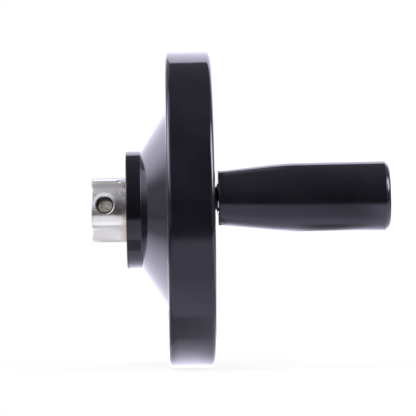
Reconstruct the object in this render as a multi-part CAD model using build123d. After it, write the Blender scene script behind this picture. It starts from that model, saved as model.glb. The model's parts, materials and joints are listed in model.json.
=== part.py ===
# Machine handwheel: a dished phenolic wheel moulded on a steel bush, with a revolving handle.
#
# The wheel spins about the Y axis. The shaft comes in from +Y, and the operator stands at -Y.
# y = 0 is the middle of the rim. All lengths are in millimetres.
#
# Before the last step the handle stands exactly on the -X side of the wheel. WHEEL_TURN then
# turns the whole handwheel a little about its shaft, to where it comes to a stop.
from build123d import *
import os

# ---- Driving dimensions: wheel moulding --------------------------------------------------
WHEEL_D = 125.0           # outside diameter of the rim
RIM_W = 18.2              # width of the rim along the shaft
RIM_EDGE_R = 2.0          # rounding of the rim's two outer edges
RING_W = 20.0             # radial width of the solid ring under the rim, on the operator's side
RING_EDGE_R = 2.0         # rounding of the ring's inner edge

COLLAR_D = 46.8           # collar round the bush, on the shaft side
COLLAR_FACE_Y = 24.9      # the collar's end face
COLLAR_CHAMFER = 0.4
CONE_TOP_Y = 19.1         # where the conical back meets the collar
CONE_FOOT_D = 80.0        # where the conical back meets the rim's flat side
CONE_FOOT_R = 1.0         # blend between cone and flat side

DISH_WALL_DRAFT = 1.9     # how much narrower the dish is at the foot of its wall, in radius
DISH_RIM_Y = 2.5          # floor of the dish at the foot of its outer wall
DISH_HUB_Y = 11.5         # floor of the dish at the boss
DISH_CORNER_R = 4.0       # blends at both ends of the dish floor
BOSS_D = 39.0             # boss round the bush, on the operator's side
BOSS_DRAFT = 0.9          # how much wider the boss is at its foot, in radius
BOSS_CHAMFER = 0.8

# ---- Driving dimensions: steel bush and set screw ----------------------------------------
BUSH_D = 25.4
BUSH_BACK_Y = 38.4        # end of the bush on the shaft side
BUSH_FRONT_Y = -1.6       # end of the bush, flush with the boss
BUSH_CHAMFER = 0.4
BORE_D = 12.0             # shaft bore
BORE_CHAMFER = 0.5
KEEPER_GROOVE_W = 4.0     # groove that holds the bush endwise in the moulding
KEEPER_GROOVE_DEPTH = 1.2
KEEPER_GROOVE_Y = 11.0
KEEPER_FLATS = 22.6       # size across the two flats that stop the bush turning in the moulding
KEEPER_FLATS_W = 10.0     # length of the flats along the bush

SET_SCREW_Y = 33.2        # place of the set screw along the bush
SET_SCREW_TURN = 5.1      # degrees round from the handle
SET_SCREW_D = 6.0         # M6
SET_SCREW_LENGTH = 5.0
SET_SCREW_DEPTH = 1.2     # how far the screw stands below the bush's surface
SET_SCREW_SOCKET = 3.0    # across the flats
SET_SCREW_SOCKET_DEPTH = 2.0
SET_SCREW_POINT_CHAMFER = 0.6
SET_HOLE_COUNTERSINK = 0.8

# ---- Driving dimensions: handle ----------------------------------------------------------
HANDLE_R = 50.0           # handle circle
THREAD_D = 8.0            # M8
THREAD_LENGTH = 12.0
INSERT_D = 12.0           # threaded insert moulded into the rim
INSERT_LENGTH = 14.5
INSERT_GROOVE_W = 3.0
INSERT_GROOVE_DEPTH = 0.8

# Lengths along the handle are measured outwards from the rim's face.
RELIEF_D = 6.4            # undercut behind the thread
RELIEF_W = 1.5
NECK_D = 8.9              # seat of the spindle on the insert
NECK_LENGTH = 0.6
FLANGE_D = 11.7
FLANGE_START = 1.05
FLANGE_END = 3.0
JOURNAL_D = 9.0
SPINDLE_END = 61.5
SPINDLE_CHAMFER = 0.6
SPINDLE_SOCKET = 5.0      # hexagon socket, across the flats
SPINDLE_SOCKET_DEPTH = 5.0

GRIP_START = 1.3          # gap between the rim and the grip
GRIP_END = 64.5
GRIP_NECK_D = 20.8        # grip diameters: beside the rim, at the knee and at the free end
GRIP_KNEE_D = 26.1
GRIP_END_D = 26.4
GRIP_KNEE = 26.5          # place of the knee
GRIP_KNEE_R = 100.0
GRIP_NECK_EDGE_R = 0.5
GRIP_END_EDGE_R = 0.5
RUNNING_CLEARANCE = 0.05  # radial, between the journal and the grip's bore
FLANGE_CLEARANCE = 0.35   # radial, between the flange and its counterbore
END_PLAY = 0.15           # between the flange and the floor of its counterbore
RECESS_D = 20.0           # recess for ring, washer and cap
RECESS_START = 57.0

WASHER_D = 15.0
WASHER_T = 1.0
WASHER_PLAY = 0.05        # on both sides of the washer
RING_T = 1.0
RING_SEAT_D = 8.4         # bottom of the groove for the retaining ring
RING_D = 12.6
RING_GAP = 36.0           # opening of the retaining ring, degrees
RING_EAR_D = 3.2
RING_EAR_HOLE_D = 1.2

CAP_D = 25.6
CAP_DOME_R = 60.0
CAP_HEIGHT = 2.7
CAP_EDGE = 1.4            # rounding of the cap's shoulder
CAP_SPIGOT_START = 59.9
CAP_SPIGOT_WALL = 1.5
CAP_ROOF = 2.0

WHEEL_TURN = 4.4          # degrees about the shaft, raising the handle


# ---- Turning helpers -----------------------------------------------------------------------
def lathe(corners):
    """Solid of revolution about Y from a closed outline of (radius, y) or (radius, y, rounding)."""
    face = make_face(Polyline(*[corner[:2] for corner in corners], close=True))
    for radius, y, *rounding in corners:
        if rounding:
            nearest = face.vertices().sort_by_distance((radius, y, 0))[0]
            face = fillet(nearest, rounding[0])
    return revolve(face, Axis.Y)


def handle_place():
    """Where the handle's axis meets the rim's face."""
    return Location((-HANDLE_R, -RIM_W / 2, 0))


def handle_lathe(corners):
    """As lathe, about the handle's axis, with each corner's place measured out from the rim."""
    return handle_place() * lathe([(corner[0], -corner[1], *corner[2:]) for corner in corners])


def hexagon_prism(across_flats, length):
    """Hexagonal prism along Z, centred on the origin."""
    return extrude(RegularPolygon(across_flats / 2, 6, major_radius=False), length / 2, both=True)


# ---- Wheel ---------------------------------------------------------------------------------
def bush_blank():
    """Outer form of the bush, with the groove and flats that lock it in the moulding."""
    radius = BUSH_D / 2
    blank = lathe([
        (0, BUSH_FRONT_Y),
        (radius - BUSH_CHAMFER, BUSH_FRONT_Y),
        (radius, BUSH_FRONT_Y + BUSH_CHAMFER),
        (radius, BUSH_BACK_Y - BUSH_CHAMFER),
        (radius - BUSH_CHAMFER, BUSH_BACK_Y),
        (0, BUSH_BACK_Y),
    ])
    groove_bottom = lathe([
        (radius - KEEPER_GROOVE_DEPTH, KEEPER_GROOVE_Y - KEEPER_GROOVE_W / 2),
        (BUSH_D, KEEPER_GROOVE_Y - KEEPER_GROOVE_W / 2),
        (BUSH_D, KEEPER_GROOVE_Y + KEEPER_GROOVE_W / 2),
        (radius - KEEPER_GROOVE_DEPTH, KEEPER_GROOVE_Y + KEEPER_GROOVE_W / 2),
    ])
    flat_zone = Pos(0, KEEPER_GROOVE_Y, 0) * Box(BUSH_D * 2, KEEPER_FLATS_W, BUSH_D * 2)
    between_flats = Pos(0, KEEPER_GROOVE_Y, 0) * Box(BUSH_D * 2, KEEPER_FLATS_W, KEEPER_FLATS)
    return blank - groove_bottom - (flat_zone - between_flats)


def set_screw_place(depth):
    """Frame on the set screw's axis, this far below the bush's surface, with Z outwards."""
    out = Location((0, SET_SCREW_Y, 0), (0, SET_SCREW_TURN - 90, 0))
    return out * Pos(0, 0, BUSH_D / 2 - depth)


def hub_bush():
    """Steel bush: shaft bore with chamfered mouths, and a countersunk tapped hole."""
    bore_r = BORE_D / 2
    bore = lathe([
        (0, BUSH_FRONT_Y),
        (bore_r + BORE_CHAMFER, BUSH_FRONT_Y),
        (bore_r, BUSH_FRONT_Y + BORE_CHAMFER),
        (bore_r, BUSH_BACK_Y - BORE_CHAMFER),
        (bore_r + BORE_CHAMFER, BUSH_BACK_Y),
        (0, BUSH_BACK_Y),
    ])
    wall = BUSH_D / 2 - bore_r
    hole_align = (Align.CENTER, Align.CENTER, Align.MAX)
    hole = Cylinder(SET_SCREW_D / 2, wall + bore_r / 2 + 1, align=hole_align)
    sink_r = SET_SCREW_D / 2 + SET_HOLE_COUNTERSINK
    sink = Cone(SET_SCREW_D / 2, sink_r, SET_HOLE_COUNTERSINK, align=hole_align)
    mouth = Cylinder(sink_r, 1, align=(Align.CENTER, Align.CENTER, Align.MIN))
    return bush_blank() - bore - set_screw_place(-1) * hole - set_screw_place(0.4) * (sink + mouth)


def set_screw():
    """Headless screw with a hexagon socket, chamfered at both ends."""
    thread_r = SET_SCREW_D / 2
    body = Cylinder(thread_r, SET_SCREW_LENGTH, align=(Align.CENTER, Align.CENTER, Align.MAX))
    rims = body.edges().filter_by(GeomType.CIRCLE)
    body = chamfer(rims, SET_SCREW_POINT_CHAMFER)
    socket = hexagon_prism(SET_SCREW_SOCKET, SET_SCREW_SOCKET_DEPTH * 2)
    return set_screw_place(SET_SCREW_DEPTH) * (body - socket)


def insert_blank():
    """Outer form of the threaded insert, with a groove that locks it in the moulding."""
    radius = INSERT_D / 2
    groove_mid = INSERT_LENGTH / 2
    return handle_lathe([
        (0, 0),
        (radius, 0),
        (radius, -groove_mid + INSERT_GROOVE_W / 2),
        (radius - INSERT_GROOVE_DEPTH, -groove_mid + INSERT_GROOVE_W / 2),
        (radius - INSERT_GROOVE_DEPTH, -groove_mid - INSERT_GROOVE_W / 2),
        (radius, -groove_mid - INSERT_GROOVE_W / 2),
        (radius, -INSERT_LENGTH),
        (0, -INSERT_LENGTH),
    ])


def handle_insert():
    """Brass insert with a blind tapped hole for the handle."""
    thread_r = THREAD_D / 2
    return insert_blank() - handle_lathe([
        (0, 0),
        (thread_r, 0),
        (thread_r, -THREAD_LENGTH),
        (0, -THREAD_LENGTH - thread_r / 2),
    ])


def wheel_body():
    """Dished wheel in one moulding: rim, conical web, collar and boss, round bush and insert."""
    rim_r = WHEEL_D / 2
    rim_y = RIM_W / 2
    ring_r = rim_r - RING_W
    bush_r = BUSH_D / 2
    moulding = lathe([
        (bush_r / 2, COLLAR_FACE_Y),
        (COLLAR_D / 2 - COLLAR_CHAMFER, COLLAR_FACE_Y),
        (COLLAR_D / 2, COLLAR_FACE_Y - COLLAR_CHAMFER),
        (COLLAR_D / 2, CONE_TOP_Y),
        (CONE_FOOT_D / 2, rim_y, CONE_FOOT_R),
        (rim_r, rim_y, RIM_EDGE_R),
        (rim_r, -rim_y, RIM_EDGE_R),
        (ring_r, -rim_y, RING_EDGE_R),
        (ring_r - DISH_WALL_DRAFT, DISH_RIM_Y, DISH_CORNER_R),
        (BOSS_D / 2 + BOSS_DRAFT, DISH_HUB_Y, DISH_CORNER_R),
        (BOSS_D / 2, BUSH_FRONT_Y + BOSS_CHAMFER),
        (BOSS_D / 2 - BOSS_CHAMFER, BUSH_FRONT_Y),
        (bush_r / 2, BUSH_FRONT_Y),
    ])
    return moulding - bush_blank() - insert_blank()


# ---- Handle --------------------------------------------------------------------------------
def ring_groove():
    """The two sides of the retaining ring's groove, out from the rim's face."""
    start = RECESS_START + WASHER_T + 2 * WASHER_PLAY
    return start, start + RING_T


def handle_spindle():
    """Steel spindle: thread, seat, flange, journal, ring groove and hexagon socket."""
    thread_r = THREAD_D / 2
    journal_r = JOURNAL_D / 2
    groove_start, groove_end = ring_groove()
    turned = handle_lathe([
        (0, -THREAD_LENGTH),
        (thread_r - SPINDLE_CHAMFER, -THREAD_LENGTH),
        (thread_r, -THREAD_LENGTH + SPINDLE_CHAMFER),
        (thread_r, -RELIEF_W),
        (RELIEF_D / 2, -RELIEF_W),
        (RELIEF_D / 2, 0),
        (NECK_D / 2, 0),
        (NECK_D / 2, NECK_LENGTH),
        (FLANGE_D / 2, FLANGE_START),
        (FLANGE_D / 2, FLANGE_END),
        (journal_r, FLANGE_END),
        (journal_r, groove_start),
        (RING_SEAT_D / 2, groove_start),
        (RING_SEAT_D / 2, groove_end),
        (journal_r, groove_end),
        (journal_r, SPINDLE_END - SPINDLE_CHAMFER),
        (journal_r - SPINDLE_CHAMFER, SPINDLE_END),
        (0, SPINDLE_END),
    ])
    socket = hexagon_prism(SPINDLE_SOCKET, SPINDLE_SOCKET_DEPTH * 2)
    return turned - handle_place() * Pos(0, -SPINDLE_END, 0) * Rot(90, 0, 0) * socket


def thrust_washer():
    """Washer between the floor of the grip's recess and the retaining ring."""
    start = RECESS_START + WASHER_PLAY
    bore_r = JOURNAL_D / 2
    return handle_lathe([
        (bore_r, start),
        (WASHER_D / 2, start),
        (WASHER_D / 2, start + WASHER_T),
        (bore_r, start + WASHER_T),
    ])


def retaining_ring():
    """Open ring for an outside groove, with an eared end on each side of its gap."""
    ear_turn = RING_GAP / 2 + 9
    ear_circle = (RING_D + RING_SEAT_D) / 4 + 0.8
    ears = PolarLocations(ear_circle, 2, start_angle=90 - ear_turn, angular_range=4 * ear_turn)
    gap_reach = RING_D
    gap = make_face(Polyline(
        (0, 0),
        Vector(gap_reach, 0).rotate(Axis.Z, 90 - RING_GAP / 2),
        Vector(gap_reach, 0).rotate(Axis.Z, 90 + RING_GAP / 2),
        close=True,
    ))
    shape = Circle(RING_D / 2) + ears * Circle(RING_EAR_D / 2)
    shape -= gap
    shape -= Circle(RING_SEAT_D / 2)
    shape -= ears * Circle(RING_EAR_HOLE_D / 2)
    groove_end = ring_groove()[1]
    return handle_place() * Pos(0, -groove_end, 0) * Rot(-90, 0, 0) * extrude(shape, RING_T)


def grip():
    """Tapered grip with a plain bore, a counterbore for the flange and a recess for the cap."""
    bore_r = JOURNAL_D / 2 + RUNNING_CLEARANCE
    flange_r = FLANGE_D / 2 + FLANGE_CLEARANCE
    flange_seat = FLANGE_END + END_PLAY
    return handle_lathe([
        (flange_r, GRIP_START),
        (GRIP_NECK_D / 2, GRIP_START, GRIP_NECK_EDGE_R),
        (GRIP_KNEE_D / 2, GRIP_KNEE, GRIP_KNEE_R),
        (GRIP_END_D / 2, GRIP_END, GRIP_END_EDGE_R),
        (RECESS_D / 2, GRIP_END),
        (RECESS_D / 2, RECESS_START),
        (bore_r, RECESS_START),
        (bore_r, flange_seat),
        (flange_r, flange_seat),
    ])


def end_cap():
    """Domed cap with a hollow spigot pressed into the grip's recess."""
    top = GRIP_END + CAP_HEIGHT
    hollow_r = RECESS_D / 2 - CAP_SPIGOT_WALL
    above = top + CAP_ROOF      # blank left standing for the dome to be turned from
    plug = handle_lathe([
        (0, above),
        (CAP_D / 2, above),
        (CAP_D / 2, GRIP_END),
        (RECESS_D / 2, GRIP_END),
        (RECESS_D / 2, CAP_SPIGOT_START),
        (hollow_r, CAP_SPIGOT_START),
        (hollow_r, top - CAP_ROOF),
        (0, top - CAP_ROOF),
    ])
    dome_centre = handle_place() * Pos(0, CAP_DOME_R - top, 0)
    dome = plug & dome_centre * Sphere(CAP_DOME_R)
    shoulder = dome.edges().filter_by(GeomType.CIRCLE).sort_by(Axis.Y)[0]
    return fillet(shoulder, CAP_EDGE)


# ---- The handwheel ---------------------------------------------------------------------------
NODES = {
    "wheel_body": wheel_body,
    "hub_bush": hub_bush,
    "set_screw": set_screw,
    "handle_insert": handle_insert,
    "handle_spindle": handle_spindle,
    "thrust_washer": thrust_washer,
    "retaining_ring": retaining_ring,
    "grip": grip,
    "end_cap": end_cap,
}

os.makedirs("parts", exist_ok=True)
for name, make in NODES.items():
    export_step(Rot(0, WHEEL_TURN, 0) * make(), f"parts/{name}.step")
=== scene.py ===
"""Looks of a machine handwheel: a dished black phenolic wheel on a steel bush, with a revolving handle.

The wheel spins about Y, the shaft comes in from +Y and the operator stands at -Y. Metres throughout,
except where a name or a docstring says mm.
"""

import json
import math

import bmesh
import bpy
import numpy as np
from mathutils import Matrix, Vector


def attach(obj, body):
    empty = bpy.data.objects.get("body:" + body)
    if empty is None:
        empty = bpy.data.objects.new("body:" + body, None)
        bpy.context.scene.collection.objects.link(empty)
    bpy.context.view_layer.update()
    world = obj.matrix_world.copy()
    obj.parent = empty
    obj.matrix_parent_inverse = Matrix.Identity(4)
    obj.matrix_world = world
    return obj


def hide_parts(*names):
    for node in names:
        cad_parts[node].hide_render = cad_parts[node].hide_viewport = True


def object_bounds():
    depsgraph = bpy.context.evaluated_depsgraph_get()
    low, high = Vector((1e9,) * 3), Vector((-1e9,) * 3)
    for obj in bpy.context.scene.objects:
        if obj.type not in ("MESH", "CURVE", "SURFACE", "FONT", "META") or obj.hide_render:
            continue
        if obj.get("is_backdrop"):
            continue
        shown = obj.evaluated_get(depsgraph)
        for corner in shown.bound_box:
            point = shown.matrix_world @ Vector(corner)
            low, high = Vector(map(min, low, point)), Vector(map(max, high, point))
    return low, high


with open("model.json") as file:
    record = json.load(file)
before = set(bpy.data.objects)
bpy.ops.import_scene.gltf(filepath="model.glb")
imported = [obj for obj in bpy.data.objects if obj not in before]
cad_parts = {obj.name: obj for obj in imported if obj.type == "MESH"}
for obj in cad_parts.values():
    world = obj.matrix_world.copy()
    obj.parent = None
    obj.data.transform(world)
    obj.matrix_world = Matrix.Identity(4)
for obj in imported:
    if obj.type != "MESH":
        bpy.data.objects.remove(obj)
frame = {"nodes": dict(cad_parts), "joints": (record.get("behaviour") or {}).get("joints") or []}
cad_low, cad_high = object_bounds()

# ---- Camera --------------------------------------------------------------------------------
# A long lens, level with the shaft, looking at the wheel edge-on from the side where the handle
# has come to rest. The camera hangs about one degree out of level.
CAMERA_PLACE = Vector((-1.250, 0.0140, 0.0))
CAMERA_AIM = Vector((0.0, -0.0073, 0.0002))
CAMERA_ROLL = math.radians(-1.0)

lens = bpy.data.cameras.new("camera")
lens.sensor_width = 36.0
lens.lens = 274.2
camera = bpy.data.objects.new("camera", lens)
look = (CAMERA_AIM - CAMERA_PLACE).to_track_quat("-Z", "Y").to_matrix()
rolled = look @ Matrix.Rotation(CAMERA_ROLL, 3, "Z")
camera.matrix_world = Matrix.Translation(CAMERA_PLACE) @ rolled.to_4x4()
bpy.context.scene.collection.objects.link(camera)
bpy.context.scene.camera = camera

# ---- Studio --------------------------------------------------------------------------------
# A white sweep in a dim room. The backdrop glows behind the table, a tall soft box stands on the
# left with a paper wall beside it, and a square one on the right, a little in front.
STUDIO_TINT = (1.0, 0.965, 1.15)
BACKDROP_HEIGHT = 1.12              # height of the backdrop over its distance
BACKDROP_GLOW = 2.25
BOX_RIGHT_ROLL = 15.0
SOFT_PANELS = (                     # degrees round from the back to the left, degrees up, soft edges; glow
    ("left_box", 69, 112, 5, 16, 44, 9, 4.4),
    ("left_paper", 68, 137, 5, 10, 74, 6, 1.35),
    ("left_far", 137, 150, 4, 8, 40, 5, 0.9),
    ("left_wall", 6, 68, 8, 16, 66, 9, 0.50),
    ("right_wall", -102, -60, 14, 6, 32, 7, 0.7),
)

world = bpy.data.worlds.new("studio")
bpy.context.scene.world = world
world.use_nodes = True
tree = world.node_tree
tree.nodes.clear()


def sums(tree, operation, *values, clamp=False):
    """One Math node on numbers or sockets; its result."""
    node = tree.nodes.new("ShaderNodeMath")
    node.operation = operation
    node.use_clamp = clamp
    for socket, value in zip(node.inputs, values):
        if isinstance(value, (int, float)):
            socket.default_value = value
        else:
            tree.links.new(value, socket)
    return node.outputs[0]


def ease(tree, value, start, end, low=0.0, high=1.0):
    """A smooth step from low to high while value goes from start to end."""
    node = tree.nodes.new("ShaderNodeMapRange")
    node.interpolation_type = "SMOOTHSTEP"
    tree.links.new(value, node.inputs["Value"])
    for name, number in (("From Min", start), ("From Max", end), ("To Min", low), ("To Max", high)):
        node.inputs[name].default_value = number
    return node.outputs["Result"]


def within(tree, value, start, end, soft):
    """1 between start and end, 0 outside them, with smooth edges that reach soft to either side."""
    rise = ease(tree, value, start - soft, start + soft)
    fall = ease(tree, value, end - soft, end + soft, 1.0, 0.0)
    return sums(tree, "MULTIPLY", rise, fall)


def blended(tree, share, first, second):
    """first where share is 0, second where it is 1."""
    node = tree.nodes.new("ShaderNodeMix")
    node.data_type = "FLOAT"
    for name, value in (("Factor", share), ("A", first), ("B", second)):
        socket = next(s for s in node.inputs if s.name == name and s.type == "VALUE")
        if isinstance(value, (int, float)):
            socket.default_value = value
        else:
            tree.links.new(value, socket)
    return next(s for s in node.outputs if s.type == "VALUE")


direction = tree.nodes.new("ShaderNodeTexCoord").outputs["Generated"]
apart = tree.nodes.new("ShaderNodeSeparateXYZ")
tree.links.new(direction, apart.inputs[0])
back, left, up = apart.outputs
sideways = sums(tree, "ABSOLUTE", left)
round_left = sums(tree, "DEGREES", sums(tree, "ARCTAN2", left, back))
height = sums(tree, "DEGREES", sums(tree, "ARCSINE", up))

# the room: dark in front, a dim ceiling, dim walls
room = sums(tree, "ADD", sums(tree, "MULTIPLY", sums(tree, "MAXIMUM", up, 0.0), 0.12), 0.06)
room = sums(tree, "ADD", room, sums(tree, "MULTIPLY", back, 0.04))
room = sums(tree, "ADD", room, ease(tree, sideways, 0.35, 0.65, 0.0, 0.28))
for name, start, end, soft, low, high, soft_up, panel_glow in SOFT_PANELS:
    across = within(tree, round_left, start, end, soft)
    panel = sums(tree, "MULTIPLY", across, within(tree, height, low, high, soft_up))
    room = sums(tree, "ADD", room, sums(tree, "MULTIPLY", panel, panel_glow))

# the backdrop: lit paper up to its top rail, with a gap above the table on its left side
low_left = ease(tree, left, 0.02, 0.20, 0.0, 0.35)
rail = sums(tree, "SUBTRACT", sums(tree, "MULTIPLY", back, BACKDROP_HEIGHT), low_left)
under_rail = sums(tree, "SUBTRACT", rail, up)
soft_rail = sums(tree, "ADD", sums(tree, "MULTIPLY", low_left, 0.35), 0.015)
under_rail = ease(tree, sums(tree, "DIVIDE", under_rail, soft_rail), -1.0, 1.0)
in_width = sums(tree, "MULTIPLY", ease(tree, round_left, -72, -46), ease(tree, round_left, 49, 64, 1.0, 0.0))
over_gap = ease(tree, sums(tree, "SUBTRACT", up, sums(tree, "MULTIPLY", sideways, 0.07)), 0.07, 0.17)
over_gap = sums(tree, "MAXIMUM", over_gap, ease(tree, round_left, 15, 40, 1.0, 0.0))
paper_share = sums(tree, "MULTIPLY", sums(tree, "MULTIPLY", under_rail, over_gap), in_width)
studio = blended(tree, paper_share, room, BACKDROP_GLOW)

# what the lens sees past the object is plain white, and matt surfaces are lit evenly
path = tree.nodes.new("ShaderNodeLightPath")
glow = blended(tree, path.outputs["Is Diffuse Ray"], studio, 0.5)
glow = blended(tree, path.outputs["Is Camera Ray"], glow, 1.0)
background = tree.nodes.new("ShaderNodeBackground")
tree.links.new(glow, background.inputs["Strength"])
tint = tree.nodes.new("ShaderNodeMix")
tint.data_type = "RGBA"
tree.links.new(path.outputs["Is Camera Ray"], tint.inputs["Factor"])
for socket in tint.inputs:
    if socket.type == "RGBA":
        socket.default_value = (*STUDIO_TINT, 1.0) if socket.name == "A" else (1.0, 1.0, 1.0, 1.0)
tree.links.new(next(s for s in tint.outputs if s.type == "RGBA"), background.inputs["Color"])
tree.links.new(background.outputs[0], tree.nodes.new("ShaderNodeOutputWorld").inputs["Surface"])


def panel_light(name, place, aim, width, height, power):
    """A soft rectangular lamp at place, facing aim, that the lens doesn't see."""
    lamp = bpy.data.lights.new(name, "AREA")
    lamp.shape = "RECTANGLE"
    lamp.size, lamp.size_y, lamp.energy = width, height, power
    holder = bpy.data.objects.new(name, lamp)
    holder.location = place
    holder.rotation_euler = (Vector(aim) - Vector(place)).to_track_quat("-Z", "Y").to_euler()
    holder.visible_camera = False
    bpy.context.scene.collection.objects.link(holder)
    return holder


box_right = panel_light("box_right", (-0.61, -1.30, 0.77), (0.0, 0.0, 0.0), 0.78, 0.95, 25.0)
box_right.rotation_euler.rotate_axis("Z", math.radians(BOX_RIGHT_ROLL))
panel_light("top_soft", (-0.72, 0.48, 1.34), (0.0, 0.0, 0.0), 0.5, 0.5, 14.0).visible_glossy = False

# The table is one plane. The lens sees it white, with the object's soft shadow. Polished surfaces mirror a
# painted glow in its place, with painted shadows: dim towards the room, shaded beside the wheel, bright
# towards the backdrop.
TABLE_FRONT, TABLE_BACK = 0.25, 3.0     # from the shaft to the table's front and back edges
TABLE_HALF = 1.4                    # half the table's width
TABLE_NEAR, TABLE_MID, TABLE_BRIGHT = 0.80, 1.03, 2.45    # its glow in front, beside the wheel, and behind
TABLE_BY_BUSH = 0.66                # glow of the strip that the bush shades
TABLE_RIGHT = 1.45                  # glow of the table's right side, under the soft box
floor_mesh = bpy.data.meshes.new("floor")
floor_low = cad_low.z - 0.00002
floor_mesh.from_pydata(
    [(-TABLE_FRONT, -TABLE_HALF, floor_low), (TABLE_BACK, -TABLE_HALF, floor_low),
     (TABLE_BACK, TABLE_HALF, floor_low), (-TABLE_FRONT, TABLE_HALF, floor_low)],
    [], [(0, 1, 2, 3)])
floor = bpy.data.objects.new("floor", floor_mesh)
bpy.context.scene.collection.objects.link(floor)
floor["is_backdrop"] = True
paper = bpy.data.materials.new("white_sweep")
paper.use_nodes = True
tree = paper.node_tree
tree.nodes.clear()
matt = tree.nodes.new("ShaderNodeBsdfDiffuse")
matt.inputs["Color"].default_value = (0.9, 0.9, 0.9, 1)
white = tree.nodes.new("ShaderNodeEmission")
path = tree.nodes.new("ShaderNodeLightPath")
apart = tree.nodes.new("ShaderNodeSeparateXYZ")
tree.links.new(tree.nodes.new("ShaderNodeTexCoord").outputs["Object"], apart.inputs[0])
x, y, z = apart.outputs
table = ease(tree, x, -0.224, -0.155, 0.12, TABLE_NEAR)
table = sums(tree, "ADD", table, ease(tree, x, -0.092, -0.056, 0.0, TABLE_MID - TABLE_NEAR))
# behind the wheel it brightens, later where the hub stands to the left or the wheel's shadow
# falls to the right
by_hub = within(tree, y, 0.0125, 0.031, 0.009)
by_grip = ease(tree, y, -0.022, 0.0, 1.0, 0.0)
start = sums(tree, "ADD", sums(tree, "MULTIPLY", by_hub, 0.028), -0.033)
run = sums(tree, "ADD", sums(tree, "MULTIPLY", by_hub, 0.0405), sums(tree, "MULTIPLY", by_grip, 0.054))
run = sums(tree, "ADD", run, 0.0195)
rise = ease(tree, sums(tree, "DIVIDE", sums(tree, "SUBTRACT", x, start), run), 0.0, 1.0)
table = sums(tree, "ADD", table, sums(tree, "MULTIPLY", rise, TABLE_BRIGHT - TABLE_MID))
# shade where the tread stands close over the table, and under the handle
tread_end = sums(tree, "SUBTRACT", x, sums(tree, "MULTIPLY", by_hub, 0.013))
under_tread = ease(tree, tread_end, -0.0355, -0.0305, 1.0, 0.0)
under_tread = sums(tree, "MULTIPLY", ease(tree, x, -0.052, -0.047), under_tread)
under_tread = sums(tree, "MULTIPLY", under_tread, ease(tree, y, -0.032, 0.020, 0.0, 0.55))
table = sums(tree, "MULTIPLY", table, sums(tree, "SUBTRACT", 1.0, under_tread))
under_handle = within(tree, y, -0.067, -0.044, 0.009)
under_handle = sums(tree, "MULTIPLY", under_handle, ease(tree, x, -0.056, -0.026, 0.0, 0.68))
table = sums(tree, "MULTIPLY", table, sums(tree, "SUBTRACT", 1.0, under_handle))
by_bush = sums(tree, "MULTIPLY", within(tree, y, 0.0255, 0.0385, 0.002), ease(tree, x, -0.050, -0.040))
by_bush = sums(tree, "MULTIPLY", by_bush, ease(tree, x, 0.09, 0.17, 1.0, 0.0))
by_end = sums(tree, "MULTIPLY", ease(tree, x, -0.032, -0.022), ease(tree, x, 0.04, 0.09, 1.0, 0.0))
by_end = sums(tree, "MULTIPLY", within(tree, y, 0.036, 0.060, 0.004), by_end)
table = blended(tree, sums(tree, "MAXIMUM", by_bush, by_end), table, TABLE_BY_BUSH)
# it fades towards the backdrop and to the left, and has its own level under the right-hand box
table = sums(tree, "MULTIPLY", table, ease(tree, x, 0.06, 0.9, 1.0, 0.17))
table = sums(tree, "ADD", table, ease(tree, x, 0.55, 1.0, 0.0, 1.2))
wide = sums(tree, "SUBTRACT", sums(tree, "ABSOLUTE", y), sums(tree, "MULTIPLY", x, 0.5))
table = sums(tree, "MULTIPLY", table, ease(tree, wide, 0.05, 0.27, 1.0, 0.22))
on_right = sums(tree, "MULTIPLY", ease(tree, y, -0.082, -0.066, 1.0, 0.0), ease(tree, x, -0.20, -0.13))
table = blended(tree, on_right, table, ease(tree, y, -0.5, -0.12, 0.36, TABLE_RIGHT))
near = tree.nodes.new("ShaderNodeEmission")
near.inputs["Color"].default_value = (*(c / max(STUDIO_TINT) for c in STUDIO_TINT), 1.0)
tree.links.new(sums(tree, "MULTIPLY", table, max(STUDIO_TINT)), near.inputs["Strength"])
lit = tree.nodes.new("ShaderNodeMixShader")
far = sums(tree, "SQRT", sums(tree, "ADD", sums(tree, "MULTIPLY", x, x), sums(tree, "MULTIPLY", y, y)))
plain = ease(tree, far, 0.12, 0.45, 0.86, 1.0)
tree.links.new(sums(tree, "MULTIPLY", path.outputs["Is Camera Ray"], plain), lit.inputs[0])
tree.links.new(matt.outputs[0], lit.inputs[1])
tree.links.new(white.outputs[0], lit.inputs[2])
seen = tree.nodes.new("ShaderNodeMixShader")
tree.links.new(path.outputs["Is Glossy Ray"], seen.inputs[0])
tree.links.new(lit.outputs[0], seen.inputs[1])
tree.links.new(near.outputs[0], seen.inputs[2])
tree.links.new(seen.outputs[0], tree.nodes.new("ShaderNodeOutputMaterial").inputs["Surface"])
floor_mesh.materials.append(paper)

# ---- Wheel moulding ------------------------------------------------------------------------
# One compression moulding in black phenolic: rim, dished web, collar and boss, polished by the
# mould. It grips the steel bush, and a blind pocket in the rim's face holds the handle's insert.
MM = 0.001
GRIP_JOINT = frame["joints"][0]
HANDLE_PLACE = Vector((GRIP_JOINT["pos_m"][0], 0.0, GRIP_JOINT["pos_m"][2]))
HANDLE_TURN = math.atan2(HANDLE_PLACE.z, -HANDLE_PLACE.x)
WHEEL_STEPS = 360
RIM_FACE = 9.1                      # from the rim's middle to the face that carries the handle, mm
WHEEL_OUTLINE = (                   # radius, place along the shaft, rounding; mm
    (12.7, 24.9, 0), (23.4, 24.9, 0.4), (23.4, 19.1, 0.3), (40.0, 9.1, 1.0), (62.5, 9.1, 2.0),
    (62.5, -RIM_FACE, 2.0), (42.5, -RIM_FACE, 2.0), (40.6, 2.5, 4.0), (20.4, 11.5, 4.0), (19.5, -1.6, 0.8),
    (12.7, -1.6, 0))
POCKET_R, POCKET_DEPTH = 6.0, 14.5
WINDOW_STEPS = 20                   # the pocket's window in the rim's face: one-degree columns
WINDOW_IN, WINDOW_OUT = 42.6, 58.5  # and the radii between which it lies, mm


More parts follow.
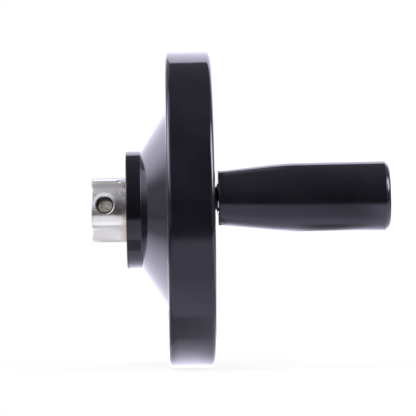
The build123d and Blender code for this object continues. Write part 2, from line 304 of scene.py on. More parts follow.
def rounded(corners, step=9.0, run=3.0):
    """Closed outline of (radius, place) points in mm. A corner with a rounding gets an arc tangent to
    both of its sides: its centre lies rounding / sin(half the corner's angle) from the corner, on the
    bisector. Straight runs are divided to at most run mm, with one point kept close to each end."""
    points = []
    count = len(corners)
    for i, (radius, place, rounding) in enumerate(corners):
        corner = np.array([radius, place])
        before = np.array(corners[i - 1][:2]) - corner
        after = np.array(corners[(i + 1) % count][:2]) - corner
        before, after = before / np.hypot(*before), after / np.hypot(*after)
        half = math.acos(np.clip(before @ after, -1, 1)) / 2
        if not rounding:
            points.append(corner[None])
            continue
        centre = corner + (before + after) / np.hypot(*(before + after)) * rounding / math.sin(half)
        start = corner + before * rounding / math.tan(half)
        end = corner + after * rounding / math.tan(half)
        first = math.atan2(*(start - centre)[::-1])
        sweep = (math.atan2(*(end - centre)[::-1]) - first + math.pi) % (2 * math.pi) - math.pi
        angles = first + np.linspace(0, sweep, max(3, math.ceil(math.degrees(abs(sweep)) / step)) + 1)
        points.append(centre + rounding * np.stack([np.cos(angles), np.sin(angles)], 1))
    filled = []
    for arc, following in zip(points, points[1:] + points[:1]):
        filled.append(arc)
        gap = following[0] - arc[-1]
        length = np.hypot(*gap)
        close = min(0.2, 0.2 * length) / max(length, 1e-9)
        inner = np.linspace(close, 1 - close, max(1, math.ceil(length / run)) + 1)
        if length > 0.05:
            filled.append(arc[-1] + inner[:, None] * gap)
    return np.concatenate(filled)


def turned(radii, places, angles):
    """Surface of revolution about Y, mm: x = -r cos a, z = r sin a, so that angle 0 faces -X. radii is
    either one radius a row, or rows by angles where a row isn't round."""
    radii = np.broadcast_to(np.asarray(radii).reshape(len(places), -1), (len(places), len(angles)))
    along = np.broadcast_to(places[:, None], radii.shape)
    return np.stack([-radii * np.cos(angles), along, radii * np.sin(angles)], -1)


def skin(name, sheets, place=Vector(), turn=Matrix.Identity(3), sharp=35.0):
    """One closed mesh from sheets of points in mm (rows by columns): neighbours are joined by
    four-sided faces, and points of different sheets that coincide are merged, which closes seams
    and poles."""
    corners, faces, start = [], [], 0
    for sheet in sheets:
        rows, columns = sheet.shape[:2]
        index = start + np.arange(rows * columns).reshape(rows, columns)
        around = [index[:-1, :-1], index[1:, :-1], index[1:, 1:], index[:-1, 1:]]
        faces.append(np.stack(around, -1).reshape(-1, 4))
        corners.append(sheet.reshape(-1, 3))
        start += rows * columns
    corners = np.concatenate(corners) @ np.array(turn).T * MM + np.array(place)
    mesh = bpy.data.meshes.new(name)
    mesh.from_pydata(corners.tolist(), [], np.concatenate(faces).tolist())
    shape = bmesh.new()
    shape.from_mesh(mesh)
    bmesh.ops.remove_doubles(shape, verts=shape.verts, dist=2e-6)
    bmesh.ops.dissolve_degenerate(shape, edges=shape.edges, dist=1e-7)
    bmesh.ops.delete(shape, geom=[edge for edge in shape.edges if not edge.link_faces], context="EDGES")
    bmesh.ops.recalc_face_normals(shape, faces=shape.faces)
    shape.to_mesh(mesh)
    shape.free()
    mesh.shade_smooth()
    mesh.set_sharp_from_angle(angle=math.radians(sharp))
    piece = bpy.data.objects.new(name, mesh)
    bpy.context.scene.collection.objects.link(piece)
    return piece


def window(grid, top, bottom, side):
    """A grid without its cells in rows top to bottom and columns 0 to side, as sheets, and the
    window's edge as one closed loop of points."""
    sheets = [grid[:top + 1], grid[bottom:], grid[top:bottom + 1, side:]]
    loop = np.concatenate([grid[top, :side], grid[top:bottom, side], grid[bottom, side:0:-1],
                           grid[bottom:top:-1, 0], grid[top:top + 1, 0]])
    return sheets, loop


def patch(loop, radius, lift, rings=8):
    """Fills a window around a round hole. In the plane across the hole, points go straight from the
    hole's edge to the window's edge, bunched towards the hole; lift puts them back on the surface.
    Its first row is the hole's edge."""
    hole = loop / np.hypot(loop[:, 0], loop[:, 1])[:, None] * radius
    share = np.linspace(0, 1, rings + 1)[:, None, None] ** 1.5
    return lift(hole + share * (loop - hole))


outline = rounded(WHEEL_OUTLINE)
on_face = outline[:, 1] < 0.8 - RIM_FACE
face_rows = np.flatnonzero(on_face & (outline[:, 0] > WINDOW_IN) & (outline[:, 0] < WINDOW_OUT))
first_angle = HANDLE_TURN - math.radians(WINDOW_STEPS / 2)
angles = first_angle + np.linspace(0, 2 * math.pi, WHEEL_STEPS + 1)
wheel_grid = turned(np.append(outline[:, 0], outline[0, 0]), np.append(outline[:, 1], outline[0, 1]), angles)
wheel_sheets, loop = window(wheel_grid, face_rows[0], face_rows[-1], WINDOW_STEPS)
hub_x, hub_z = HANDLE_PLACE.x / MM, HANDLE_PLACE.z / MM
face_radius = outline[face_rows[::-1], 0]
face_place = outline[face_rows[::-1], 1]


def on_rim_face(across):
    """Across the handle's axis (mm) to the rim's face: its place along the shaft depends only on the
    radius."""
    x, z = across[..., 0] + hub_x, across[..., 1] + hub_z
    return np.stack([x, np.interp(np.hypot(x, z), face_radius, face_place), z], -1)


around_pocket = patch(loop[:, [0, 2]] - (hub_x, hub_z), POCKET_R, on_rim_face)
mouth = around_pocket[:1]
depths = np.array([0.5, 1.0, 1.0]) * POCKET_DEPTH - RIM_FACE
inward = np.array([1.0, 1.0, 0.0])
pocket_wall = np.concatenate([mouth, np.stack([
    hub_x + (mouth[..., 0] - hub_x) * inward[:, None],
    np.repeat(depths[:, None], mouth.shape[1], 1),
    hub_z + (mouth[..., 2] - hub_z) * inward[:, None]], -1)])
wheel = skin("wheel_moulding", [*wheel_sheets, around_pocket, pocket_wall])


def finish_nodes(name):
    """A new node material: its tree and its Principled shader."""
    material = bpy.data.materials.new(name)
    material.use_nodes = True
    tree = material.node_tree
    return material, tree, tree.nodes["Principled BSDF"]


def grain(tree, size, detail=2.0, stretch=(1, 1, 1), roughness=0.5, move=(0, 0, 0)):
    """Noise whose lumps are about size metres, stretched along the object's axes; its value."""
    place = tree.nodes.new("ShaderNodeMapping")
    place.inputs["Scale"].default_value = stretch
    place.inputs["Location"].default_value = move
    noise = tree.nodes.new("ShaderNodeTexNoise")
    noise.inputs["Scale"].default_value = 1.0 / size
    noise.inputs["Detail"].default_value = detail
    noise.inputs["Roughness"].default_value = roughness
    tree.links.new(tree.nodes.new("ShaderNodeTexCoord").outputs["Object"], place.inputs["Vector"])
    tree.links.new(place.outputs["Vector"], noise.inputs["Vector"])
    return noise.outputs["Fac"]


def shaded(tree, share, first, second):
    """Colour first where share is 0, second where it is 1. Either may be a colour or a socket."""
    node = tree.nodes.new("ShaderNodeMix")
    node.data_type = "RGBA"
    node.inputs["Factor"].default_value = 0.0
    tree.links.new(share, node.inputs["Factor"])
    for name, value in (("A", first), ("B", second)):
        socket = next(s for s in node.inputs if s.name == name and s.type == "RGBA")
        if isinstance(value, tuple):
            socket.default_value = (*value, 1.0)
        else:
            tree.links.new(value, socket)
    return next(s for s in node.outputs if s.type == "RGBA")


def relief(tree, height, depth, before=None):
    """A bump of depth metres from a height of 0 to 1, on top of another bump; its normal."""
    node = tree.nodes.new("ShaderNodeBump")
    node.inputs["Strength"].default_value = 1.0
    node.inputs["Distance"].default_value = depth
    tree.links.new(height, node.inputs["Height"])
    if before is not None:
        tree.links.new(before, node.inputs["Normal"])
    return node.outputs["Normal"]


def phenolic(name, polish, lay):
    """Black phenolic as it comes from a polished mould: flow mottling in the colour and gloss, a faint
    orange peel, and fine handling scuffs that run along lay."""
    material, tree, shader = finish_nodes(name)
    flow = grain(tree, 0.016, 3.0)
    smudge = grain(tree, 0.007, 4.0, move=(0.3, 0.1, 0.2))
    scuff = ease(tree, grain(tree, 0.0016, 3.0, lay, 0.65), 0.60, 0.74)
    colour = shaded(tree, ease(tree, flow, 0.35, 0.7), (0.0048, 0.0044, 0.0060), (0.0074, 0.0068, 0.0092))
    colour = shaded(tree, scuff, colour, (0.011, 0.0105, 0.013))
    tree.links.new(colour, shader.inputs["Base Color"])
    rough = ease(tree, smudge, 0.4, 0.75, polish, polish + 0.05)
    rough = sums(tree, "ADD", rough, sums(tree, "MULTIPLY", scuff, 0.07))
    tree.links.new(rough, shader.inputs["Roughness"])
    shader.inputs["IOR"].default_value = 1.6
    shader.inputs["Specular Tint"].default_value = (0.88, 0.86, 1.0, 1.0)
    waves = relief(tree, grain(tree, 0.011, 1.0), 0.00003)
    tree.links.new(relief(tree, grain(tree, 0.0012, 2.0), 0.0000012, waves), shader.inputs["Normal"])
    return material


wheel_black = phenolic("black_phenolic_wheel", 0.07, (1, 6, 1))
wheel.data.materials.append(wheel_black)
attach(wheel, "wheel")
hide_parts("wheel_body")

# ---- Hub bush ------------------------------------------------------------------------------
# Free-cutting steel, turned and bright zinc plated, moulded into the wheel. Its wall is drilled
# and tapped for a set screw. Mould flash has stained it beside the collar, and it has a few nicks.
BUSH_R, BORE_R = 12.7, 6.0
BUSH_BACK, BUSH_FRONT = 38.4, -1.6
END_FALL, END_RUN = 0.12, 4.0
BUSH_ROUGH = 0.17
SCREW_PLACE, SCREW_TURN = 33.2, HANDLE_TURN + math.radians(5.1)
SINK_R, TAP_R, SINK_TOP, SINK_DEPTH = 3.8, 3.0, 0.4, 0.8
PITCH, THREAD_DEPTH = 1.0, 0.5
SIDE_STEPS, BUSH_STEPS = 36, 192
NICKS = (                            # degrees above the handle's side, place, depth, width
    (62, 27.6, 0.22, 1.6), (70, 30.9, 0.12, 0.9), (78, 29.0, 0.16, 1.3), (55, 25.9, 0.15, 1.1),
    (-56, 27.2, 0.10, 0.8), (-38, 26.4, 0.08, 0.9))


def thread(places, angles, pitch, depth, start, end):
    """Depth of a screw thread below its crest: a triangle wave in place / pitch - angle / turn, cut flat at
    crest and root, that fades in and out over one pitch at its ends."""
    turn = places / pitch - angles / (2 * math.pi)
    wave = np.clip(np.abs((turn % 1) * 2 - 1) * 1.3 - 0.15, 0, 1)
    fade = np.clip((places - start) / pitch, 0, 1) * np.clip((end - places) / pitch, 0, 1)
    return wave * depth * fade


def bush_radius(places):
    """Outer radius, mm: it falls off by END_FALL in a parabola over the last END_RUN before the back end."""
    return BUSH_R - END_FALL * np.clip((places - BUSH_BACK + END_RUN) / END_RUN, 0, 1) ** 2


# the bush's own frame: columns count round from the tapped hole's window
window_half = 2 * math.pi / BUSH_STEPS * SIDE_STEPS / 2
bush_angles = SCREW_TURN - window_half + np.linspace(0, 2 * math.pi, BUSH_STEPS + 1)
outer_rows = np.concatenate([
    [BUSH_FRONT + 0.4], np.linspace(BUSH_FRONT + 0.8, SCREW_PLACE - 4.9, 60),
    np.linspace(SCREW_PLACE - 4.6, SCREW_PLACE + 4.6, SIDE_STEPS + 1), [BUSH_BACK - 0.4]])
angle_grid, row_grid = np.meshgrid(bush_angles, outer_rows)
dent = np.zeros_like(row_grid)
for degrees, place, depth, width in NICKS:
    around = ((angle_grid - math.radians(degrees) + math.pi) % (2 * math.pi) - math.pi) * BUSH_R
    dent += depth * np.exp(-(around / (width * 0.5)) ** 2 - ((row_grid - place) / (width * 0.35)) ** 2)
outer = turned(bush_radius(row_grid) - dent, outer_rows, bush_angles)
hole_x, hole_z = -math.cos(SCREW_TURN), math.sin(SCREW_TURN)


def around_hole(points):
    """Points on the bush to the plane across the hole: sideways along the tangent, and along the shaft."""
    return np.stack([points[..., 0] * hole_z - points[..., 2] * hole_x, points[..., 1] - SCREW_PLACE], -1)


def on_cylinder(radius):
    """Puts points of that plane on a round surface about the shaft, whose radius is given for each place."""
    def lift(across):
        side, along = across[..., 0], across[..., 1]
        out = np.sqrt(radius(along + SCREW_PLACE) ** 2 - side ** 2)
        return np.stack([out * hole_x + side * hole_z, along + SCREW_PLACE, out * hole_z - side * hole_x], -1)
    return lift


top_row = len(outer_rows) - SIDE_STEPS - 2
outer_sheets, outer_loop = window(outer, top_row, top_row + SIDE_STEPS, SIDE_STEPS)
outer_patch = patch(around_hole(outer_loop), SINK_R, on_cylinder(bush_radius))
bore_rows = np.concatenate([
    [BUSH_FRONT + 0.5], np.linspace(BUSH_FRONT + 1, SCREW_PLACE - 3.9, 12),
    np.linspace(SCREW_PLACE - 3.6, SCREW_PLACE + 3.6, SIDE_STEPS + 1), [BUSH_BACK - 0.5]])
top_bore = len(bore_rows) - SIDE_STEPS - 2
bore = turned(np.full(len(bore_rows), BORE_R), bore_rows, bush_angles)
bore_sheets, bore_loop = window(bore, top_bore, top_bore + SIDE_STEPS, SIDE_STEPS)
bore_patch = patch(around_hole(bore_loop), TAP_R - THREAD_DEPTH, on_cylinder(lambda places: BORE_R), 3)
back_radii = (bush_radius(BUSH_BACK - 0.4), BUSH_R - 0.2, BUSH_R - 0.5, 10.6, 9.2, 7.8, BORE_R + 0.5, BORE_R)
front_radii = (BUSH_R, BUSH_R - 0.12, BUSH_R - 0.4, 10.6, 9.2, 7.8, BORE_R + 0.5, BORE_R)
in_from_end = np.array([0.4, 0.12, 0, 0, 0, 0, 0, 0.5])
ends = [turned(np.array(back_radii), BUSH_BACK - in_from_end, bush_angles),
        turned(np.array(front_radii), BUSH_FRONT + in_from_end, bush_angles)]
hole_angle = np.arctan2(*around_hole(outer_patch[0]).T[::-1])
# the hole's mouth in section: a bevel, a nearly straight wall, and a ledge where the thread begins
sink_share = np.array([0.0, 0.36, 0.5, 0.97, 1.0])[:, None]
sink_r = np.array([SINK_R, 3.42, 3.34, 3.30, TAP_R])[:, None]
tap_share = np.linspace(0, 1, 76)[1:, None]
# the wall's columns turn from the angles of the outer window's loop to those of the bore window's loop
foot_angle = np.arctan2(*around_hole(bore_patch[0]).T[::-1])
tap_angle = hole_angle + ((foot_angle - hole_angle + math.pi) % (2 * math.pi) - math.pi) * tap_share
top_radius = bush_radius(SCREW_PLACE + SINK_R * np.sin(hole_angle))
top_out = np.sqrt(top_radius ** 2 - (SINK_R * np.cos(hole_angle)) ** 2)
foot_out = np.sqrt(BORE_R ** 2 - ((TAP_R - THREAD_DEPTH) * np.cos(foot_angle)) ** 2)
sink_out = top_out + (BUSH_R - SINK_TOP - SINK_DEPTH - top_out) * sink_share
tap_out = sink_out[-1] + (foot_out - sink_out[-1]) * tap_share
tap_r = TAP_R - THREAD_DEPTH + thread(-tap_out, tap_angle, PITCH, THREAD_DEPTH, -20, 0)
tap_r = tap_r + (TAP_R - tap_r) * np.clip(1 - tap_share * 12, 0, 1)
tap_r[-1] = TAP_R - THREAD_DEPTH
hole_out = np.concatenate([sink_out, tap_out])
hole_r = np.concatenate([np.broadcast_to(sink_r, sink_out.shape), tap_r])
wall_angle = np.concatenate([np.broadcast_to(hole_angle, sink_out.shape), tap_angle])
side, along = hole_r * np.cos(wall_angle), hole_r * np.sin(wall_angle)
wall_x, wall_z = hole_out * hole_x + side * hole_z, hole_out * hole_z - side * hole_x
hole_wall = np.stack([wall_x, along + SCREW_PLACE, wall_z], -1)
bush = skin("hub_bush_turned", [*outer_sheets, outer_patch, *ends, *bore_sheets, bore_patch, hole_wall])


def vectors(tree, operation, *values):
    """One Vector Math node on vectors or sockets; the node."""
    node = tree.nodes.new("ShaderNodeVectorMath")
    node.operation = operation
    for socket, value in zip(node.inputs, values):
        if isinstance(value, tuple):
            socket.default_value = value
        else:
            tree.links.new(value, socket)
    return node


def about_y(tree, middle=(0.0, 0.0, 0.0)):
    """Distance from the line along Y through middle, and place along it from there, in metres."""
    point = tree.nodes.new("ShaderNodeTexCoord").outputs["Object"]
    apart = tree.nodes.new("ShaderNodeSeparateXYZ")
    tree.links.new(vectors(tree, "SUBTRACT", point, middle).outputs[0], apart.inputs[0])
    x, y, z = apart.outputs
    squares = sums(tree, "ADD", sums(tree, "MULTIPLY", x, x), sums(tree, "MULTIPLY", z, z))
    return sums(tree, "SQRT", squares), y


plating, tree, shader = finish_nodes("bright_zinc_plating")
radius, along = about_y(tree)
point = tree.nodes.new("ShaderNodeTexCoord").outputs["Object"]

# tool marks run round the shaft, and in the countersink round the hole
hole_axis = (hole_x, 0.0, hole_z)
hole_middle = (hole_x * BUSH_R * MM, SCREW_PLACE * MM, hole_z * BUSH_R * MM)
from_hole = vectors(tree, "SUBTRACT", point, hole_middle).outputs[0]
round_hole = vectors(tree, "CROSS_PRODUCT", from_hole, hole_axis)
from_hole_axis = vectors(tree, "LENGTH", round_hole.outputs[0]).outputs["Value"]
outside = ease(tree, vectors(tree, "DOT_PRODUCT", point, hole_axis).outputs["Value"], 0.010, 0.011)
in_sink = sums(tree, "MULTIPLY", ease(tree, from_hole_axis, 0.00379, 0.00381, 1.0, 0.0), outside)
round_shaft = vectors(tree, "CROSS_PRODUCT", point, (0.0, 1.0, 0.0))
marks = shaded(tree, in_sink, vectors(tree, "NORMALIZE", round_shaft.outputs[0]).outputs[0],
               vectors(tree, "NORMALIZE", round_hole.outputs[0]).outputs[0])
tree.links.new(marks, shader.inputs["Tangent"])

cloud = grain(tree, 0.006, 3.0)
speckle = grain(tree, 0.0006, 3.0, move=(0.1, 0.3, 0))
by_collar = ease(tree, along, 0.0252, 0.0280, 1.0, 0.0)
by_collar = sums(tree, "MULTIPLY", by_collar, ease(tree, along, 0.018, 0.022))
blotches = grain(tree, 0.0022, 3.0, move=(0.2, 0, 0.1))
tarnish = sums(tree, "MULTIPLY", by_collar, ease(tree, blotches, 0.34, 0.60))
height_on_bush = tree.nodes.new("ShaderNodeSeparateXYZ")
tree.links.new(point, height_on_bush.inputs[0])
# the flash stain is real, but its tone is painted light: pale and yellow low down, where the bush mirrors the
# bright table, and dark higher up, where it mirrors the dim room
under = ease(tree, height_on_bush.outputs[2], -0.004, 0.002, 1.0, 0.0)
stain = shaded(tree, under, (0.42, 0.38, 0.31), (0.90, 0.80, 0.56))
colour = shaded(tree, ease(tree, cloud, 0.35, 0.7), (0.97, 0.975, 0.86), (0.92, 0.923, 0.82))
colour = shaded(tree, tarnish, colour, stain)
# painted reflection: a dull purple-brown patch between the tapped hole and the collar stands in for something
# dark that the bush mirrors there
from_dark_reflection = vectors(tree, "SUBTRACT", point, (-BUSH_R * MM, 0.0292 - 0.0015, 0.001)).outputs[0]
painted_dark_reflection = ease(tree, vectors(tree, "LENGTH", from_dark_reflection).outputs["Value"], 0.0015, 0.0048, 1.0, 0.0)
colour = shaded(tree, painted_dark_reflection, colour, (0.50, 0.42, 0.42))
# painted light: a pale, duller halo on the plating round the tapped hole, strongest above it and towards the
# back end: close to the hole it is strong, and a weak one reaches over most of that side
HALO_LEAN = (0.85 * hole_z, 0.5, -0.85 * hole_x)
close_painted_halo = ease(tree, from_hole_axis, 0.0038, 0.0064, 1.0, 0.0)
painted_halo = sums(tree, "MAXIMUM", close_painted_halo, ease(tree, from_hole_axis, 0.0045, 0.0110, 0.26, 0.0))
lean = ease(tree, vectors(tree, "DOT_PRODUCT", from_hole, HALO_LEAN).outputs["Value"], -0.0030, 0.0048)
painted_halo = sums(tree, "MULTIPLY", sums(tree, "MULTIPLY", painted_halo, lean), outside)
painted_halo = sums(tree, "MULTIPLY", painted_halo, ease(tree, in_sink, 0.0, 1.0, 1.0, 0.0))
colour = shaded(tree, painted_halo, colour, (0.90, 0.905, 0.95))
# painted shade: a duller colour along the top dims the bright reflection there
painted_dim_top = ease(tree, height_on_bush.outputs[2], 0.0112, 0.0120)
colour = shaded(tree, painted_dim_top, colour, (0.76, 0.76, 0.75))
# painted shade: the hole's wall below the bevel is coloured near black
painted_hole_shade = sums(tree, "MULTIPLY", in_sink, ease(tree, from_hole_axis, 0.00336, 0.00342, 1.0, 0.0))
colour = shaded(tree, painted_hole_shade, colour, (0.10, 0.09, 0.085))
tree.links.new(colour, shader.inputs["Base Color"])
tree.links.new(ease(tree, painted_halo, 0.0, 1.0, 0.88, 0.42), shader.inputs["Metallic"])
shader.inputs["Specular Tint"].default_value = (0.3, 0.3, 0.3, 1.0)
shader.inputs["Anisotropic"].default_value = 0.9
shader.inputs["Anisotropic Rotation"].default_value = 0.25
rough = ease(tree, cloud, 0.3, 0.7, BUSH_ROUGH, BUSH_ROUGH + 0.04)
rough = sums(tree, "ADD", rough, sums(tree, "MULTIPLY", tarnish, 0.12))
rough = sums(tree, "ADD", rough, sums(tree, "MULTIPLY", in_sink, 0.18))
tree.links.new(rough, shader.inputs["Roughness"])
lathe_lines = relief(tree, grain(tree, 0.0004, 2.0, (0.02, 1, 0.02), 0.6), 0.000004)
flash = relief(tree, sums(tree, "MULTIPLY", speckle, by_collar), 0.00012, lathe_lines)
tree.links.new(relief(tree, grain(tree, 0.0012, 3.0), 0.000006, flash), shader.inputs["Normal"])
bush.data.materials.append(plating)
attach(bush, "wheel")
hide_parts("hub_bush")

# ---- Set screw -----------------------------------------------------------------------------
# Headless hexagon-socket screw, M6, run in below the bush's surface. Black oxide that has gone
# brown and dusty in the socket, where keys have scraped it.
SCREW_LENGTH, SCREW_BELOW, SOCKET, SOCKET_DEEP = 5.0, 1.2, 3.0, 0.45
SCREW_STEPS = 96


def hexagon(angles, across):
    """Radius of a regular hexagon at each angle: half its width over the cosine of the turn from the
    middle of its nearest side."""
    return across / 2 / np.cos((angles + math.pi / 6) % (math.pi / 3) - math.pi / 6)


def keyed_end(outer_r, outer_place, across, deep, angles):
    """An end face with a hexagon socket, as rows of radii and places: from the face's edge to the socket's
    bevelled mouth, down its walls, and to the middle of its floor. Out is the positive direction."""
    flats = hexagon(angles, across)
    plain = np.ones_like(angles)
    radii = np.stack([plain * outer_r, np.maximum(flats + 0.25, across * 0.66), flats + 0.04, flats, flats,
                      flats - 0.03, flats * 0.5, plain * 0.0])
    depths = [0, 0, 0.05, 0.2, deep - 0.04, deep, deep + across * 0.08, deep + across * 0.16]
    return radii, outer_place - np.array(depths)


angles = np.linspace(0, 2 * math.pi, SCREW_STEPS + 1)
shank_places = np.linspace(-SCREW_LENGTH + 0.6, -0.5, 42)
shank = TAP_R - 0.06 - thread(shank_places[:, None], angles, PITCH, THREAD_DEPTH, -SCREW_LENGTH + 0.2, 0.3)
face_radii, face_places = keyed_end(TAP_R - 0.2, 0.0, SOCKET, SOCKET_DEEP, angles)
point_radii = np.array([0.0, 1.2, 1.5, TAP_R - 0.7])[:, None] * np.ones_like(angles)
point_places = np.array([-SCREW_LENGTH + 0.5, -SCREW_LENGTH + 0.4, -SCREW_LENGTH, -SCREW_LENGTH + 0.05])
screw_grid = turned(np.concatenate([point_radii, shank, face_radii]),
                    np.concatenate([point_places, shank_places, face_places]), angles)
out = Vector((hole_x, 0, hole_z))
screw_place = (out * (BUSH_R - SCREW_BELOW) + Vector((0, SCREW_PLACE, 0))) * MM
along_hole = Vector((0, 1, 0)).rotation_difference(out).to_matrix()
screw = skin("set_screw_m6", [screw_grid], screw_place, along_hole, sharp=28.0)
oxide, tree, shader = finish_nodes("worn_black_oxide")
rust = ease(tree, grain(tree, 0.0011, 3.0), 0.45, 0.66)
dust = shaded(tree, rust, (0.36, 0.345, 0.285), (0.20, 0.175, 0.145))
# painted shadow: the face is black outside a round whose middle is a little lower than the screw's, as if the
# hole's upper edge shaded its top; the same black is the oxide on the rest of the screw
lit_round_middle = tuple(screw_place - Vector((0, 0.45 * MM, 1.1 * MM)))
point = tree.nodes.new("ShaderNodeTexCoord").outputs["Object"]
from_lit_round = vectors(tree, "SUBTRACT", point, lit_round_middle).outputs[0]
oxide_and_painted_shadow = ease(tree, vectors(tree, "LENGTH", from_lit_round).outputs["Value"], 0.00275, 0.00305)
tree.links.new(shaded(tree, oxide_and_painted_shadow, dust, (0.035, 0.032, 0.03)), shader.inputs["Base Color"])
tree.links.new(ease(tree, grain(tree, 0.0007, 3.0), 0.3, 0.7, 0.5, 0.75), shader.inputs["Roughness"])
shader.inputs["Metallic"].default_value = 0.2
tree.links.new(relief(tree, grain(tree, 0.0005, 3.0), 0.00003), shader.inputs["Normal"])
screw.data.materials.append(oxide)
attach(screw, "wheel")
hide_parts("set_screw")

# ---- Handle insert -------------------------------------------------------------------------
# Turned brass, moulded into the rim and tapped for the handle's spindle. Only its end is left
# uncovered, in the narrow gap between rim and grip.
brass, tree, shader = finish_nodes("turned_brass")
stain = ease(tree, grain(tree, 0.003, 3.0), 0.35, 0.7)
tree.links.new(shaded(tree, stain, (0.62, 0.46, 0.20), (0.40, 0.28, 0.12)), shader.inputs["Base Color"])
tree.links.new(ease(tree, stain, 0.0, 1.0, 0.28, 0.45), shader.inputs["Roughness"])
shader.inputs["Metallic"].default_value = 1.0
tree.links.new(relief(tree, grain(tree, 0.0006, 2.0), 0.000008), shader.inputs["Normal"])
insert = frame["nodes"]["handle_insert"]
insert.data.materials.clear()
insert.data.materials.append(brass)

# ---- Handle spindle ------------------------------------------------------------------------
# One steel turning, blackened: thread in the insert, a coned flange against which the grip runs,
# and a journal with a hexagon socket under the cap. The flange's edge is rubbed bright.
SPINDLE = (                          # radius, place out from the rim's face; mm
    (3.2, -1.5), (3.2, 0.0), (4.45, 0.0), (4.45, 0.6), (5.75, 1.0), (5.85, 1.05), (5.85, 3.0),
    (4.5, 3.0), (4.5, 3.3), (4.5, 20.0), (4.5, 40.0), (4.5, 57.9), (4.5, 58.1), (4.2, 58.1),
    (4.2, 59.1), (4.5, 59.1), (4.5, 60.9), (3.9, 61.5))
SPINDLE_STEPS, TAP_PITCH = 96, 1.25
angles = np.linspace(0, 2 * math.pi, SPINDLE_STEPS + 1)
thread_rows = np.linspace(-11.4, -1.5, 90)
threaded = 4.0 - thread(thread_rows[:, None], angles, TAP_PITCH, 0.65, -12.2, -1.2)
start_radii = np.array([0.0, 2.0, 3.2])[:, None] * np.ones_like(angles)
stem = np.array(SPINDLE)
end_radii, end_places = keyed_end(3.9, 61.5, 5.0, 5.0, angles)
spindle_radii = np.concatenate([start_radii, threaded, stem[:, :1] * np.ones_like(angles), end_radii[1:]])
spindle_places = np.concatenate([[-12.0, -12.0, -12.0], thread_rows, stem[:, 1], end_places[1:]])
rim_face = Vector((HANDLE_PLACE.x, -RIM_FACE * MM, HANDLE_PLACE.z))
spindle = skin("handle_spindle_turned", [turned(spindle_radii, -spindle_places, angles)], rim_face)
blackened, tree, shader = finish_nodes("blackened_spindle")
from_axis = about_y(tree, tuple(rim_face))[0]
patches = ease(tree, grain(tree, 0.0022, 2.0), 0.42, 0.52)
rubbed = sums(tree, "MULTIPLY", ease(tree, from_axis, 0.00562, 0.00575), patches)
tree.links.new(shaded(tree, rubbed, (0.018, 0.018, 0.02), (0.75, 0.74, 0.72)), shader.inputs["Base Color"])
tree.links.new(ease(tree, rubbed, 0.0, 1.0, 0.38, 0.14), shader.inputs["Roughness"])
tree.links.new(ease(tree, rubbed, 0.0, 1.0, 0.5, 1.0), shader.inputs["Metallic"])
spindle.data.materials.append(blackened)
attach(spindle, "wheel")
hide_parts("handle_spindle")

# ---- Thrust washer and retaining ring ------------------------------------------------------
# A zinc-plated washer and a phosphated spring-steel ring keep the grip on its spindle. Both sit
# in the recess under the cap.
zinc, tree, shader = finish_nodes("washer_zinc")
dull = grain(tree, 0.004, 3.0)
tree.links.new(shaded(tree, dull, (0.72, 0.72, 0.71), (0.50, 0.51, 0.52)), shader.inputs["Base Color"])
tree.links.new(ease(tree, dull, 0.2, 0.8, 0.25, 0.42), shader.inputs["Roughness"])
shader.inputs["Metallic"].default_value = 1.0
phosphate, tree, shader = finish_nodes("ring_phosphate")
dull = grain(tree, 0.0015, 4.0)
tree.links.new(shaded(tree, dull, (0.045, 0.045, 0.047), (0.10, 0.10, 0.10)), shader.inputs["Base Color"])
tree.links.new(ease(tree, dull, 0.2, 0.8, 0.5, 0.7), shader.inputs["Roughness"])
shader.inputs["Metallic"].default_value = 0.8
for node, finish in (("thrust_washer", zinc), ("retaining_ring", phosphate)):
    frame["nodes"][node].data.materials.clear()
    frame["nodes"][node].data.materials.append(finish)

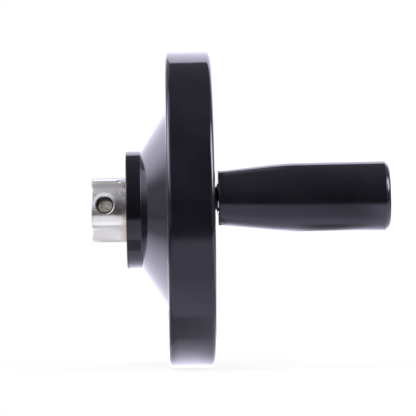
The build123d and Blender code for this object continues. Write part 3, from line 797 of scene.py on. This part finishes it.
# ---- Grip ----------------------------------------------------------------------------------
# A revolving sleeve moulded in the same phenolic: a taper up from the rim, a soft knee and a
# nearly parallel end that takes the cap. It runs on the spindle's journal.
GRIP_OUTLINE = (                    # radius, place out from the rim's face, rounding; mm
    (6.2, 1.3, 0.3), (10.4, 1.3, 0.5), (13.05, 26.5, 100.0), (13.2, 64.5, 0.2), (10.0, 64.5, 0),
    (10.0, 57.0, 0), (4.55, 57.0, 0), (4.55, 3.15, 0), (6.2, 3.15, 0))
GRIP_STEPS = 256
outline = rounded(GRIP_OUTLINE, 2.0)
outline = np.concatenate([outline, outline[:1]])
angles = np.linspace(0, 2 * math.pi, GRIP_STEPS + 1)
grip = skin("grip_sleeve", [turned(outline[:, 0], -outline[:, 1], angles)], rim_face)
grip_black = phenolic("black_phenolic_grip", 0.08, (6, 1, 6))
grip.data.materials.append(grip_black)
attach(grip, "revolving_grip")
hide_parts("grip")

# ---- End cap -------------------------------------------------------------------------------
# A domed plastic cap with a hollow spigot, pressed into the grip's recess. It leaves a fine
# step all round, inside the grip's rounded edge.
CAP_R, CAP_TOP, CAP_SEAT, DOME_R, SHOULDER_R = 12.8, 67.2, 64.5, 60.0, 2.2
# the shoulder's arc touches the dome from inside and would touch the cap's greatest radius below the seat
dome_place, shoulder_r = CAP_TOP - DOME_R, CAP_R - SHOULDER_R
shoulder_up = math.sqrt((DOME_R - SHOULDER_R) ** 2 - shoulder_r ** 2)
last_slope = math.atan2(shoulder_up, shoulder_r)
dome_slopes = np.linspace(math.pi / 2, last_slope, 12)[:-1]
slopes = np.linspace(last_slope, math.asin((CAP_SEAT - dome_place - shoulder_up) / SHOULDER_R), 16)
cap_r = np.concatenate([DOME_R * np.cos(dome_slopes), shoulder_r + SHOULDER_R * np.cos(slopes)])
above_middle = np.concatenate([DOME_R * np.sin(dome_slopes), shoulder_up + SHOULDER_R * np.sin(slopes)])
cap_places = dome_place + above_middle
cap_r[0] = 0.0
CAP_OUTLINE = (*((r, p, 0) for r, p in zip(cap_r.tolist(), cap_places.tolist())), (10.0, CAP_SEAT, 0),
               (10.0, 59.9, 0.3), (8.5, 59.9, 0.3), (8.5, CAP_TOP - 2.0, 0.5), (0.0, CAP_TOP - 2.0, 0))
outline = rounded(CAP_OUTLINE, 5.0)
outline = np.concatenate([outline, outline[:1]])
cap = skin("end_cap_domed", [turned(outline[:, 0], -outline[:, 1], angles)], rim_face)
cap.data.materials.append(phenolic("black_cap_plastic", 0.10, (1, 1, 1)))
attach(cap, "revolving_grip")
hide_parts("end_cap")

# ---- View settings and sizes ---------------------------------------------------------------
bpy.context.scene.view_settings.view_transform = "Standard"
low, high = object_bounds()
